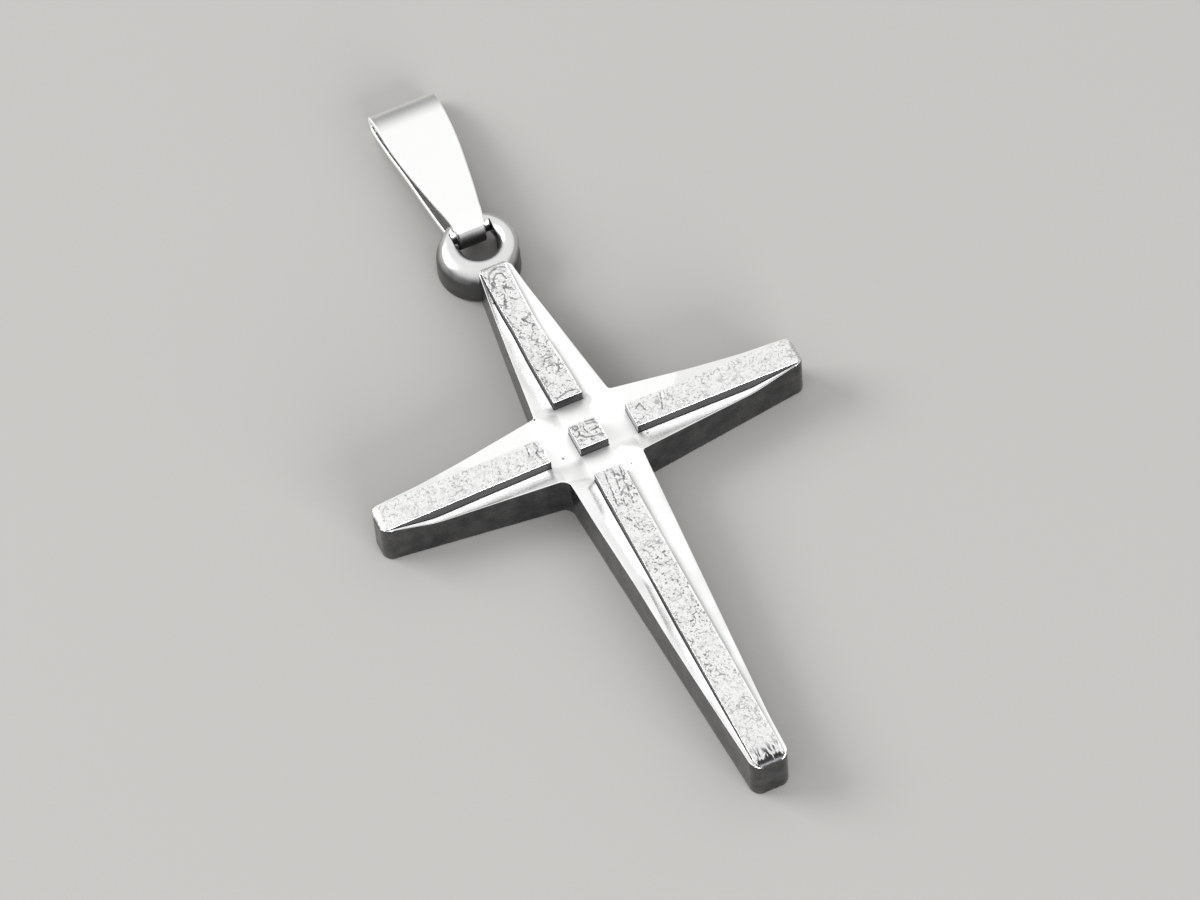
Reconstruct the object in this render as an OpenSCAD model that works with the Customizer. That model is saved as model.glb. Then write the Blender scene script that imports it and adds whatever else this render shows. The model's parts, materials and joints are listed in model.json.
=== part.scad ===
// Cross pendant lying on its back: a cast cross with raised bars, polished facets and an eyelet,
// and a folded strap bail that swings on the eyelet.
// The back of the cross is the plane z = 0, +Z is up, and +Y runs from the foot of the cross to the bail.
// The origin is on the back, under the centre of the crossing. All lengths are millimetres.

/* [Cross outline] */
// Reach of each side arm from the centre
side_reach = 11; // [9:0.5:14]
// Reach of the upper arm from the centre
top_reach = 11.2; // [9:0.1:14]
// Reach of the lower arm from the centre
foot_reach = 20.2; // [16:0.1:26]
// Width of every arm where it leaves the crossing
root_w = 3.9; // [3.5:0.1:4.6]
// Width at the end of a side arm
side_end_w = 1.68; // [1.6:0.02:2.4]
// Width at the end of the upper arm
top_end_w = 1.76; // [1.6:0.02:2.4]
// Width at the end of the lower arm
foot_end_w = 1.92; // [1.6:0.02:2.6]
// Corner radius of the arm ends, seen from above
end_round = 0.34; // [0.1:0.02:0.7]
// Radius in the four inner corners of the outline
corner_round = 0.3; // [0.1:0.05:0.8]

/* [Cross relief] */
// Thickness at the crossing, up to the raised square
crossing_h = 2.62; // [2.3:0.02:3.2]
// Thickness near the arm ends, up to the raised bars
end_h = 2.5; // [2.3:0.02:2.7]
// Radius that rolls the top over at each arm end
end_roll = 0.4; // [0.1:0.05:0.6]
// Width of the raised bars and side of the raised square
bar_w = 1.44; // [1:0.02:1.5]
// Distance from the centre to the inner end of each bar
bar_start = 2.26; // [2.1:0.02:2.8]
// Height of the facets' inner line at the crossing
groove_h = 2.02; // [1.8:0.02:2.2]
// Height of the facets' inner line near the arm ends
groove_end_h = 1.88; // [1.7:0.02:2.2]
// Tilt of the facets, in degrees
facet_tilt = 20; // [8:1:24]
// Length over which a facet runs out at the arm's end
runout = 1.4; // [0.8:0.1:2.5]
// How far the level pockets round the square pass the bars' sides
pocket_side = 0.16; // [0.05:0.01:0.3]

/* [Eyelet] */
// Distance from the end of the upper arm to the centre of the eyelet
eyelet_out = 1.85; // [1.7:0.05:2]
// How far the eyelet stands to the right of the arm's middle
eyelet_x = 0.08; // [0:0.01:0.15]
// Radius of the eyelet's hole
hole_r = 0.95; // [0.9:0.01:1]
// Thickness of the eyelet's round rim
rim_wire = 0.97; // [0.9:0.01:1.1]
// Height of the middle of the rim
rim_h = 1.45; // [1.4:0.01:1.6]
// Height of the wall below the rim
wall_h = 1.3; // [1.26:0.02:1.4]
// Outer radius of the wall below the rim
wall_r = 2.06; // [1.9:0.01:2.2]
// How far the wall is cast off centre, towards the lower left
wall_shift = 0.2; // [0:0.01:0.25]
// Edge radius at the foot of the wall
wall_foot = 0.15; // [0.05:0.01:0.3]

/* [Bail] */
// Thickness of the strap
strap_t = 0.3; // [0.2:0.01:0.36]
// Width of the strap at its widest, near the fold
strap_w = 3.52; // [2.6:0.02:4.4]
// Width of the strap where it goes round the eyelet's rim
neck_w = 1.72; // [1.4:0.02:1.76]
// Width of the strap in the eyelet's hole
bend_w = 1.36; // [1.1:0.02:1.4]
// Inside radius of the bend that goes round the eyelet's rim
loop_in_r = 0.72; // [0.68:0.01:0.78]
// Length of the bail from the line about which it swings to the outside of the fold
bail_l = 8.94; // [7:0.02:12]
// Thickness of the bail at the fold, over both leaves
fold_t = 1.3; // [1:0.02:1.5]
// Thickness of the bail at its waist, over both leaves
waist_t = 0.92; // [0.86:0.02:1.2]
// Radius of the back leaf's hollow curve at the waist
waist_round = 6; // [3:0.5:9]
// Place of the waist, as a share of the bail's length
waist_at = 0.52; // [0.4:0.01:0.65]
// Place where the strap is widest, as a share of the bail's length
wide_at = 0.9; // [0.75:0.01:0.98]
// Sideways lean of the bail, in degrees
bail_lean = 0.8; // [0:0.1:2]

/* [Fits] */
// Clearance between the strap and the metal that it passes
fit_gap = 0.06; // [0.04:0.01:0.08]

/* [Hidden] */
$fn = 96;
SLACK = 1;
TUCK = 0.004;
FLARE_STEPS = 14;

half_bar = bar_w / 2;
half_root = root_w / 2;
tall = crossing_h + SLACK;
root_corner = [half_root, half_root];

eyelet_y = top_reach + eyelet_out;
rim_mid_r = hole_r + rim_wire / 2;

// The bail swings about the middle of the rim's far side, and its bend is centred there.
hinge_y = eyelet_y + rim_mid_r;
loop_r = loop_in_r + strap_t;
pass_w = neck_w + 2 * fit_gap;

// The front leaf falls from the top of the loop to the top of the fold, which lies on z = 0.
fold_r = fold_t / 2;
waist_r = waist_t / 2;
fold_y = hinge_y + bail_l - fold_r;
leaf_fall = leaf_angle(fold_y - hinge_y, rim_h - fold_r, loop_r - fold_r);
leaf_up = [sin(leaf_fall), cos(leaf_fall)];
leaf_along = [cos(leaf_fall), -sin(leaf_fall)];

function leaf_angle(run, drop, taper) =
    asin(taper / norm([run, drop])) + atan(drop / run);

// The strap widens from its neck to the wide place, along an arc through both.
neck_y = hinge_y + loop_in_r;
wide_y = hinge_y + wide_at * bail_l;
flare_rise = (strap_w - neck_w) / 2;
flare_r = (pow(flare_rise, 2) + pow(wide_y - neck_y, 2)) / (2 * flare_rise);

// Centre of a circle of radius r that touches the front leaf's outer face, at a distance along it.
function leaf_centre(r, along) = [hinge_y, rim_h] + (loop_r - r) * leaf_up + along * leaf_along;

loop_c = [hinge_y, rim_h];
waist_c = leaf_centre(waist_r, waist_at * bail_l);
fold_c = leaf_centre(fold_r, (fold_y - hinge_y) * cos(leaf_fall) + (rim_h - fold_r) * sin(leaf_fall));

// Plan of one arm, from the centre along +X, with a rounded end.
module arm_plan(reach, end_w) {
    half_end = end_w / 2;
    straight = reach - end_round;
    polygon([
        [0, -half_root], [half_root, -half_root], [straight, -half_end],
        [straight, half_end], [half_root, half_root], [0, half_root]
    ]);
    translate([0, end_round - half_end]) square([reach, end_w - 2 * end_round]);
    for (side = [-1, 1])
        translate([straight, side * (half_end - end_round)]) circle(end_round);
}

// Side of one arm, from the centre along +X, with its top rolled over at the end.
module arm_side(reach) {
    level = end_h - end_roll;
    straight = reach - end_roll;
    polygon([[0, 0], [reach, 0], [reach, level], [straight, level], [straight, end_h], [0, crossing_h]]);
    translate([straight, level]) circle(end_roll);
}

module arm_blank(reach, end_w) {
    intersection() {
        linear_extrude(tall) arm_plan(reach, end_w);
        translate([0, root_w, 0]) rotate([90, 0, 0]) linear_extrude(2 * root_w) arm_side(reach);
    }
}

// What the two facets beside one bar take away: a tilted wedge each, which runs out before the arm's end.
module facet_cuts(reach) {
    turn_up = reach - runout;
    run_end = reach - end_roll / 4;
    incline = atan((groove_h - groove_end_h) / (turn_up - bar_start));
    spread = bar_start - half_bar;
    for (side = [0, 1])
        mirror([0, side, 0])
            intersection() {
                translate([bar_start, half_bar, groove_h])
                    rotate([0, incline, 0]) rotate([90, 0, 90])
                        translate([0, 0, -bar_start - SLACK]) linear_extrude(reach + 2 * SLACK)
                            polygon([[0, 0], [spread, spread * tan(facet_tilt)], [spread, tall], [0, tall]]);
                translate([0, bar_start, 0]) rotate([90, 0, 0]) linear_extrude(bar_start)
                    polygon([
                        [0, 0], [turn_up, 0], [turn_up, groove_end_h], [run_end, end_h],
                        [run_end, tall], [0, tall]
                    ]);
            }
}

// Fillet in the inner corner between two arms whose edges leave it with the given directions.
module corner_fillet(edge_a, edge_b) {
    half_open = acos(edge_a * edge_b) / 2;
    out = (edge_a + edge_b) / norm(edge_a + edge_b);
    centre = root_corner + out * corner_round / sin(half_open);
    foot = corner_round / tan(half_open);
    difference() {
        polygon([
            root_corner - corner_round * out, root_corner + foot * edge_a, centre, root_corner + foot * edge_b
        ]);
        translate(centre) circle(corner_round + TUCK);
    }
}

function edge_of(reach, end_w) =
    let (run = reach - end_round - half_root, rise = half_root - end_w / 2) [run, -rise] / norm([run, rise]);

// The four inner corners: the side arm's edge and the edge of the upper or lower arm.
module corner_fillets() {
    side_edge = edge_of(side_reach, side_end_w);
    top_edge = edge_of(top_reach, top_end_w);
    foot_edge = edge_of(foot_reach, foot_end_w);
    for (side = [0, 1])
        mirror([side, 0]) {
            corner_fillet(side_edge, [top_edge[1], top_edge[0]]);
            mirror([0, 1]) corner_fillet(side_edge, [foot_edge[1], foot_edge[0]]);
        }
}

// Level pockets between the raised square and the inner ends of the four bars.
module pockets() {
    long = half_bar + pocket_side;
    for (turn = [0, 90, 180, 270])
        rotate([0, 0, turn]) translate([half_bar, -long, groove_h])
            cube([bar_start - half_bar, 2 * long, tall]);
}

module cross_body() {
    difference() {
        union() {
            arm_blank(side_reach, side_end_w);
            rotate([0, 0, 180]) arm_blank(side_reach, side_end_w);
            rotate([0, 0, 90]) arm_blank(top_reach, top_end_w);
            rotate([0, 0, 270]) arm_blank(foot_reach, foot_end_w);
            linear_extrude(end_h) corner_fillets();
        }
        facet_cuts(side_reach);
        rotate([0, 0, 180]) facet_cuts(side_reach);
        rotate([0, 0, 90]) facet_cuts(top_reach);
        rotate([0, 0, 270]) facet_cuts(foot_reach);
        pockets();
    }
}

// Round rim of the eyelet, cut back inside its far half to the curve in which the strap turns.
module eyelet_rim() {
    difference() {
        translate([eyelet_x, eyelet_y, rim_h])
            rotate_extrude() translate([rim_mid_r, 0]) circle(rim_wire / 2);
        difference() {
            translate([eyelet_x - pass_w / 2, eyelet_y, 0]) cube([pass_w, rim_mid_r, tall]);
            translate([eyelet_x - pass_w, hinge_y, rim_h]) rotate([0, 90, 0])
                cylinder(h = 2 * pass_w, r = loop_in_r - fit_gap);
        }
    }
}

// Wall under the rim, down to the back plane, open at the far side where the strap's back leaf passes.
module eyelet_wall() {
    open_w = pass_w + loop_in_r;
    open_y = hinge_y - loop_r - 2 * fit_gap;
    difference() {
        translate([eyelet_x - wall_shift, eyelet_y - wall_shift, 0]) rotate_extrude() {
            square([wall_r - wall_foot, wall_h]);
            translate([0, wall_foot]) square([wall_r, wall_h - wall_foot]);
            translate([wall_r - wall_foot, wall_foot]) circle(wall_foot);
        }
        translate([eyelet_x, eyelet_y, -SLACK]) cylinder(h = tall + SLACK, r = hole_r + fit_gap);
        translate([eyelet_x - open_w / 2, open_y, -SLACK]) cube([open_w, 2 * wall_r, tall + SLACK]);
    }
}

module cross() {
    color("silver") {
        cross_body();
        eyelet_rim();
        eyelet_wall();
    }
}

// Outward direction square to the back leaf's face, between two circles that the front leaf's face touches.
function leaf_low(a, b) =
    let (along = (b - a) / norm(b - a)) 2 * (leaf_up * along) * along - leaf_up;

// Round bar across the pendant, with its centre at a place in the side view.
module round_across(centre, r) {
    translate([-strap_w, centre[0], centre[1]]) rotate([0, 90, 0]) cylinder(h = 2 * strap_w, r = r);
}

// Block with the folded strap's side: its outside, or its inside when drawn inset by the strap's thickness.
module strap_block(inset) {
    low_loop = leaf_low(loop_c, waist_c);
    low_fold = leaf_low(waist_c, fold_c);
    low_mid = (low_loop + low_fold) / norm(low_loop + low_fold);
    hollow_r = waist_round + inset;
    hollow_c = waist_c + (waist_r + waist_round) / (low_mid * low_loop) * low_mid;
    difference() {
        translate([-strap_w, 0, 0]) rotate([90, 0, 90]) linear_extrude(2 * strap_w)
            polygon([
                loop_c + (loop_r - inset) * leaf_up, fold_c + (fold_r - inset) * leaf_up,
                fold_c + (fold_r - inset) * low_fold, hollow_c - hollow_r * low_fold,
                hollow_c - hollow_r * low_loop, loop_c + (loop_r - inset) * low_loop
            ]);
        round_across(hollow_c, hollow_r);
    }
    round_across(loop_c, loop_r - inset);
    round_across(fold_c, fold_r - inset);
}

// Half the strap's width at a distance from the wide place towards the eyelet, on a long arc.
function flare(back) = strap_w / 2 - flare_r + sqrt(pow(flare_r, 2) - pow(back, 2));

// Plan of the strap: a narrow neck at the eyelet, and two long arcs that widen towards the fold.
module strap_plan() {
    far_end = bail_l + fold_r;
    span = [neck_y, hinge_y + far_end];
    side = [
        [bend_w / 2, hinge_y - far_end], [bend_w / 2, hinge_y - loop_in_r], [neck_w / 2, hinge_y],
        for (i = [0:FLARE_STEPS])
            let (y = span[0] + (span[1] - span[0]) * i / FLARE_STEPS) [flare(wide_y - y), y]
    ];
    polygon(concat(side, [for (i = [len(side) - 1:-1:0]) [-side[i][0], side[i][1]]]));
}

module bail() {
    color("gainsboro")
        translate([eyelet_x, hinge_y, 0]) rotate([0, 0, -bail_lean]) translate([0, -hinge_y, 0])
            intersection() {
                difference() {
                    strap_block(0);
                    strap_block(strap_t);
                }
                translate([0, 0, -SLACK]) linear_extrude(tall + SLACK) strap_plan();
            }
}

cross();
bail();
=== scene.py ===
import json
import math

import bmesh
import bpy
import numpy as np
from bpy.props import FloatProperty, FloatVectorProperty, IntProperty, PointerProperty, StringProperty
from mathutils import Euler, Matrix, Vector


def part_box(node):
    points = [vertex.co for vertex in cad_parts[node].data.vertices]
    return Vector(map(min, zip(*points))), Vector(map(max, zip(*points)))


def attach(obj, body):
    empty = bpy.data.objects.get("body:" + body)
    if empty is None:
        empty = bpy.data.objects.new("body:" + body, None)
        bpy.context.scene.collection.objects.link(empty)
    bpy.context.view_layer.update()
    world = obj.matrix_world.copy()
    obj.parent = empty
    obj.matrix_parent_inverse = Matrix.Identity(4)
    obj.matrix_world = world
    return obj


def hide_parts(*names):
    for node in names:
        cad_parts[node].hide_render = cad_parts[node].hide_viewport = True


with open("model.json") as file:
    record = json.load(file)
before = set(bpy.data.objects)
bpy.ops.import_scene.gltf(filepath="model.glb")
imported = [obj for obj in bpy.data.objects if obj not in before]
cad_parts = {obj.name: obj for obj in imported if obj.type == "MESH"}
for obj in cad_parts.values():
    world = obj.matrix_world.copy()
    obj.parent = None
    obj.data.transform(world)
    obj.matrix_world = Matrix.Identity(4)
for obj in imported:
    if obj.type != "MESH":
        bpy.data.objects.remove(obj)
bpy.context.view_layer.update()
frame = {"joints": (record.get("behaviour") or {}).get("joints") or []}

bl_info = {
    "name": "Cross pendant",
    "version": (1, 0, 0),
    "blender": (4, 5, 0),
    "location": "3D View > Sidebar > Pendant",
    "description": "Builds the looks of a cast silver cross pendant with a strap bail round its CAD model",
    "category": "Object",
}

MM = 0.001

CROSS_LOW, CROSS_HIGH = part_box("cross")
BAIL_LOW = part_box("bail")[0]
HINGE = Vector(frame["joints"][0]["pos_m"])


# Small tools


def linear(hexa):
    """Turns an sRGB hex colour into the linear colour that Blender's sockets take."""
    parts = [int(hexa[i:i + 2], 16) / 255 for i in (1, 3, 5)]
    return [p / 12.92 if p <= 0.04045 else ((p + 0.055) / 1.055) ** 2.4 for p in parts] + [1.0]


def fill(tree, node, inputs):
    """Fills a node's inputs with values, or with other nodes' outputs."""
    for key, value in inputs.items():
        if isinstance(value, bpy.types.NodeSocket):
            tree.links.new(value, node.inputs[key])
        else:
            node.inputs[key].default_value = value


def add(tree, kind, inputs=None, **settings):
    """Adds a node with its settings and its inputs."""
    node = tree.nodes.new(kind)
    for name, value in settings.items():
        setattr(node, name, value)
    fill(tree, node, inputs or {})
    return node


def math_node(tree, operation, a, b=0.0, c=0.0):
    """The result of a sum on up to three values."""
    return add(tree, "ShaderNodeMath", {0: a, 1: b, 2: c}, operation=operation).outputs[0]


def vector_node(tree, operation, a, b, out="Vector"):
    """The result of a sum on two vectors, as a vector or as a value."""
    return add(tree, "ShaderNodeVectorMath", {0: a, 1: b}, operation=operation).outputs[out]


def split(tree, vector):
    """A vector's X, Y and Z."""
    return add(tree, "ShaderNodeSeparateXYZ", {"Vector": vector}).outputs


def noise(tree, place, scale, detail=2.0, seed=None, roughness=0.5, out="Fac"):
    """A noise texture's value or colour. With a seed it is four-dimensional."""
    inputs = {"Vector": place, "Scale": scale, "Detail": detail, "Roughness": roughness}
    if seed is None:
        return add(tree, "ShaderNodeTexNoise", inputs).outputs[out]
    inputs["W"] = seed
    return add(tree, "ShaderNodeTexNoise", inputs, noise_dimensions="4D").outputs[out]


def remap(tree, value, low, high, to_low=0.0, to_high=1.0, kind="SMOOTHSTEP"):
    """A value carried over from one span to another, with a soft ramp or a straight one."""
    inputs = {"Value": value, "From Min": low, "From Max": high, "To Min": to_low, "To Max": to_high}
    return add(tree, "ShaderNodeMapRange", inputs, interpolation_type=kind).outputs["Result"]


def smooth(x, low, high):
    """0 below low, 1 above high, with a soft ramp between them."""
    f = np.clip((np.asarray(x, float) - low) / (high - low), 0, 1)
    return f * f * (3 - 2 * f)


def rounded(depth, r):
    """How far a rounded edge of radius r falls below its flat, at a distance inside the edge."""
    d = np.clip(depth, 0, r)
    return r - np.sqrt(np.maximum(r * r - (r - d) ** 2, 0))


def new_tree(name, sockets):
    """A Geometry Nodes tree with a geometry input and output, and the named inputs given for each kind."""
    tree = bpy.data.node_groups.new(name, "GeometryNodeTree")
    face = tree.interface
    face.new_socket("Geometry", in_out="INPUT", socket_type="NodeSocketGeometry")
    face.new_socket("Geometry", in_out="OUTPUT", socket_type="NodeSocketGeometry")
    for kind, labels in sockets.items():
        for label in labels:
            face.new_socket(label, in_out="INPUT", socket_type="NodeSocket" + kind)
    return tree


def named(tree, label):
    """The value of a mesh attribute, in a geometry tree."""
    node = add(tree, "GeometryNodeInputNamedAttribute", {"Name": label}, data_type="FLOAT")
    return node.outputs["Attribute"]


def store(tree, geometry, label, value):
    """Keeps a value on every point, for the materials to read."""
    inputs = {"Geometry": geometry, "Name": label, "Value": value}
    node = add(tree, "GeometryNodeStoreNamedAttribute", inputs, data_type="FLOAT", domain="POINT")
    return node.outputs["Geometry"]


def compare(tree, operation, a, b):
    """Whether a value is above or below another."""
    return add(tree, "FunctionNodeCompare", {0: a, 1: b}, operation=operation).outputs[0]


def both(tree, operation, a, b):
    """Two conditions joined into one."""
    return add(tree, "FunctionNodeBooleanMath", {0: a, 1: b}, operation=operation).outputs[0]


def run_tree(obj, tree, values, name):
    """Runs a tree on an object with its inputs set, and gives the result as a new plain mesh object."""
    mod = obj.modifiers.new(tree.name, "NODES")
    mod.node_group = tree
    for item in tree.interface.items_tree:
        if item.in_out == "INPUT" and item.name in values:
            mod[item.identifier] = values[item.name]
    depsgraph = bpy.context.evaluated_depsgraph_get()
    mesh = bpy.data.meshes.new_from_object(obj.evaluated_get(depsgraph), depsgraph=depsgraph)
    obj.modifiers.remove(mod)
    bpy.data.objects.remove(obj)
    return show(name, mesh)


def show(name, data):
    """Links a mesh, curve, lamp or camera into the scene as a new object at the origin."""
    data.name = name
    obj = bpy.data.objects.new(name, data)
    bpy.context.scene.collection.objects.link(obj)
    return obj


def grid_faces(rows, cols, start):
    """Quads of a grid whose points are stored row by row."""
    i, j = np.meshgrid(np.arange(rows - 1), np.arange(cols - 1), indexing="ij")
    a = (start + i * cols + j).ravel()
    return np.stack([a, a + 1, a + cols + 1, a + cols], 1)


def close_up(mesh, distance):
    """Merges a mesh's doubles, drops the faces that hang loose, and turns the others outwards."""
    bm = bmesh.new()
    bm.from_mesh(mesh)
    bmesh.ops.remove_doubles(bm, verts=bm.verts, dist=distance)
    stray = [face for face in bm.faces if all(len(edge.link_faces) != 2 for edge in face.edges)]
    bmesh.ops.delete(bm, geom=stray, context="FACES")
    bmesh.ops.recalc_face_normals(bm, faces=bm.faces)
    bm.to_mesh(mesh)
    bm.free()


def weld(points, faces, masks, distance):
    """Makes a closed mesh of points in millimetres, with a value on each point for every mask."""
    mesh = bpy.data.meshes.new("work")
    mesh.from_pydata(points.tolist(), [], [list(map(int, f)) for f in faces])
    for label, values in masks.items():
        layer = mesh.attributes.new(label, "FLOAT", "POINT")
        layer.data.foreach_set("value", np.asarray(values, np.float32))
    close_up(mesh, distance)
    mesh.transform(Matrix.Scale(MM, 4))
    return mesh


def finish_piece(obj, body, node, sharp_deg):
    obj.data.shade_smooth()
    obj.data.set_sharp_from_angle(angle=math.radians(sharp_deg))
    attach(obj, body)
    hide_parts(node)


# What a user would change


def length_prop(name, description, default):
    """A property that holds a length in metres."""
    return FloatProperty(name=name, description=description, default=default, unit="LENGTH")


def angle_prop(name, description, degrees):
    """A property that holds an angle."""
    return FloatProperty(name=name, description=description, default=math.radians(degrees), subtype="ANGLE")


def colour_prop(name, description, hexa):
    """A property that holds a colour as sRGB hex."""
    return StringProperty(name=name, description=description, default=hexa)


class PendantCross(bpy.types.PropertyGroup):
    """Sizes of the cast cross."""

    side_reach: length_prop("Side reach", "From the centre to the end of a side arm", CROSS_HIGH.x)
    top_reach: length_prop("Top reach", "From the centre to the end of the upper arm", 11.2 * MM)
    foot_reach: length_prop("Foot reach", "From the centre to the end of the lower arm", -CROSS_LOW.y)
    root_width: length_prop("Root width", "Width of every arm where it leaves the crossing", 3.9 * MM)
    crossing_height: length_prop("Crossing height", "Thickness up to the raised square", CROSS_HIGH.z)
    end_height: length_prop("End height", "Thickness up to the bars near the arm ends", 2.5 * MM)
    bar_width: length_prop("Bar width", "Side of the raised square", 1.44 * MM)
    bar_start: length_prop("Bar start", "From the centre to the inner end of each bar", 2.26 * MM)
    facet_tilt: angle_prop("Facet tilt", "Tilt of the polished facets beside the bars", 20)
    edge_radius: length_prop("Edge radius", "Rounding of the outer top edges, from polishing", 0.04 * MM)
    cut_radius: length_prop("Cut edge radius", "Rounding of the edges of the bars", 0.021 * MM)
    grid: length_prop("Grid", "Spacing of the mesh on the textured bars", 0.05 * MM)


class PendantRelief(bpy.types.PropertyGroup):
    """The cast texture on the bars."""

    crinkle_size: length_prop("Crinkle size", "Distance between the crinkles", 0.2 * MM)
    crinkle_depth: length_prop("Crinkle depth", "Depth of the crinkles", 0.012 * MM)
    grain_size: length_prop("Grain size", "Size of the cast grain", 0.1 * MM)
    grain_depth: length_prop("Grain depth", "Depth of the cast grain", 0.01 * MM)
    wave_depth: length_prop("Wave depth", "Depth of the slow waves", 0.03 * MM)
    seed: IntProperty(name="Seed", description="Seed of the texture", default=7)


class PendantEyelet(bpy.types.PropertyGroup):
    """Sizes of the eyelet."""

    centre: FloatVectorProperty(
        name="Centre", description="Centre of the rim", size=3,
        default=(0.08 * MM, 13.05 * MM, 1.45 * MM), subtype="TRANSLATION",
    )
    hole_radius: length_prop("Hole radius", "Radius of the hole", 0.95 * MM)
    rim_wire: length_prop("Rim thickness", "Thickness of the round rim", 0.97 * MM)
    wall_radius: length_prop("Wall radius", "Outer radius of the wall", 2.06 * MM)
    wall_shift: length_prop("Wall shift", "How far the wall is cast off centre", 0.2 * MM)


class PendantBail(bpy.types.PropertyGroup):
    """Sizes of the strap bail."""

    thickness: length_prop("Thickness", "Thickness of the strap", 0.3 * MM)
    width: length_prop("Width", "Width of the strap at its widest", 3.52 * MM)
    edge_radius: length_prop("Edge radius", "Rounding of the strap's edges", 0.07 * MM)
    loop_inside: length_prop(
        "Loop inside radius", "Inside radius of the bend round the eyelet's rim", 0.72 * MM
    )
    fold_height: length_prop("Fold height", "Thickness over both leaves at the fold", 1.06 * MM)
    waist_height: length_prop("Waist height", "Thickness over both leaves at the waist", 0.92 * MM)
    waist_round: length_prop("Waist radius", "Radius of the back leaf's hollow curve", 6 * MM)
    waist_at: FloatProperty(
        name="Waist place", description="Place of the waist, as a share of the length",
        default=0.52, subtype="FACTOR",
    )
    length: length_prop("Length", "From the hinge to the outside of the fold", 8.8 * MM)
    crest_radius: length_prop(
        "Crest radius", "Radius of the front leaf's slow bend before the fold", 4.6 * MM
    )
    crest_tilt: angle_prop("Crest tilt", "Tilt of the front leaf where the slow bend meets the fold", 30)
    lean: angle_prop("Lean", "Sideways lean of the bail", 1.5)
    aside: length_prop("Aside", "How far the strap sits to the left of its hinge's middle", 0.09 * MM)


class PendantFinish(bpy.types.PropertyGroup):
    """Colours of the metal and the floor, as sRGB hex."""

    silver: colour_prop("Silver", "Colour of polished silver", "#F6F6F5")
    worn: colour_prop("Worn silver", "Colour of its duller patches", "#E8E8E7")
    cast: colour_prop("Cast silver", "Colour of the textured bars", "#ECECEB")
    # Painted light: the colour of the eyelet's lit top.
    rub_and_shading: colour_prop("Rubbed and lit silver", "Colour of the eyelet's top", "#DADAD9")
    # Painted shade: the dark colour of the outer sides.
    side_shade: colour_prop("Satin side shade", "Colour of the unbuffed sides", "#686868")
    # Painted shade: the dark of the bars' walls, of the deep crinkles, of the strap inside the eyelet and of
    # the eyelet's lower flank.
    painted_shade: colour_prop("Painted shade", "Colour of the walls beside the bars", "#5E5E5E")
    # Grime in strokes and pores, and also the painted shade in the corners below the walls, on the outer
    # sides and on the walls round the crossing.
    grime_and_shade: colour_prop("Grime and shade", "Colour in strokes, pores and corners", "#3A3A3B")
    floor: colour_prop("Floor", "Colour of the floor", "#999896")


# Pores of the casting in the polished metal, measured in mm. A height counts for a tenth in the distance to
# a pore, so that it holds on a sloping facet too.
PORES = ((2.62, -0.99), (-1.55, -0.47), (1.2, -2.26), (-1.95, 1.9), (-0.84, 9.2))
PORE_RADIUS = 0.075
PORE_MIDDLE = 0.03
PORE_HEIGHT = 2.2
HEIGHT_SHARE = 0.1
# Where the strap is painted dark as shade, and made rougher, as it goes through the eyelet: it is bright
# above the first y, in mm.
STRAP_SHADE_EDGE = (13.76, 13.7)
# Spans in which the bars' strokes fade: outwards along the side arms, and down towards the foot, in mm.
SIDE_FADE = (1.5, 5.0)
FOOT_FADE = (-12.0, -17.0)
# Where the lower tip's black streaks begin, and where they close up into the painted shade on its
# rolled-over lip, as y in mm.
TIP_STREAKS = (-18.9, -19.7)
TIP_LIP_SHADE = (-19.75, -20.1)
# The eyelet goes from painted shade below to painted light on top, and from rough to smooth, between these
# heights in mm.
EYELET_SHADING_HEIGHT = (1.4, 2.05)
BUFF_HEIGHT = (0.6, 1.8)
# The seat that is cut into the rim for the strap: its middle, its half width and its nearest y, and the y
# between which its edges are painted darker, in mm.
SEAT_MIDDLE = -0.015
SEAT_HALF = 1.045
SEAT_FROM = 13.05
SEAT_DARK_NEAR = (13.1, 13.2)
SEAT_DARK_FAR = (14.1, 14.0)


# Materials


def attribute(tree, label):
    """The value of a mesh attribute, in a material."""
    return add(tree, "ShaderNodeAttribute", attribute_name=label).outputs["Fac"]


def stretch(tree, place, scale, turn_deg=0.0):
    """A place turned about z, with each of its axes scaled."""
    inputs = {"Vector": place, "Scale": scale, "Rotation": (0.0, 0.0, math.radians(turn_deg))}
    return add(tree, "ShaderNodeMapping", inputs).outputs["Vector"]


def start_material(name):
    """A new material with its shader, and object coordinates in millimetres."""
    mat = bpy.data.materials.new(name)
    mat.use_nodes = True
    tree = mat.node_tree
    tree.nodes.clear()
    shader = add(tree, "ShaderNodeBsdfPrincipled")
    add(tree, "ShaderNodeOutputMaterial", {"Surface": shader.outputs["BSDF"]})
    coords = add(tree, "ShaderNodeTexCoord").outputs["Object"]
    return mat, tree, shader, stretch(tree, coords, (1 / MM, 1 / MM, 1 / MM))


def metal(name):
    """A metal material with its own colour and roughness still to come."""
    mat, tree, shader, place = start_material(name)
    fill(tree, shader, {"Metallic": 1.0})
    return mat, tree, shader, place


def blend(tree, factor, a, b):
    """A colour between two others, each given as hex or by another node."""
    a, b = (linear(colour) if isinstance(colour, str) else colour for colour in (a, b))
    node = add(tree, "ShaderNodeMix", {"Factor": factor, "A": a, "B": b}, data_type="RGBA")
    return node.outputs["Result"]


def bump(tree, shader, height, strength, depth_mm, under=None):
    """Dents a surface's shading by a height, and gives the new direction."""
    inputs = {"Height": height, "Strength": strength, "Distance": depth_mm * MM}
    if under:
        inputs["Normal"] = under
    normal = add(tree, "ShaderNodeBump", inputs).outputs["Normal"]
    fill(tree, shader, {"Normal": normal})
    return normal


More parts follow.
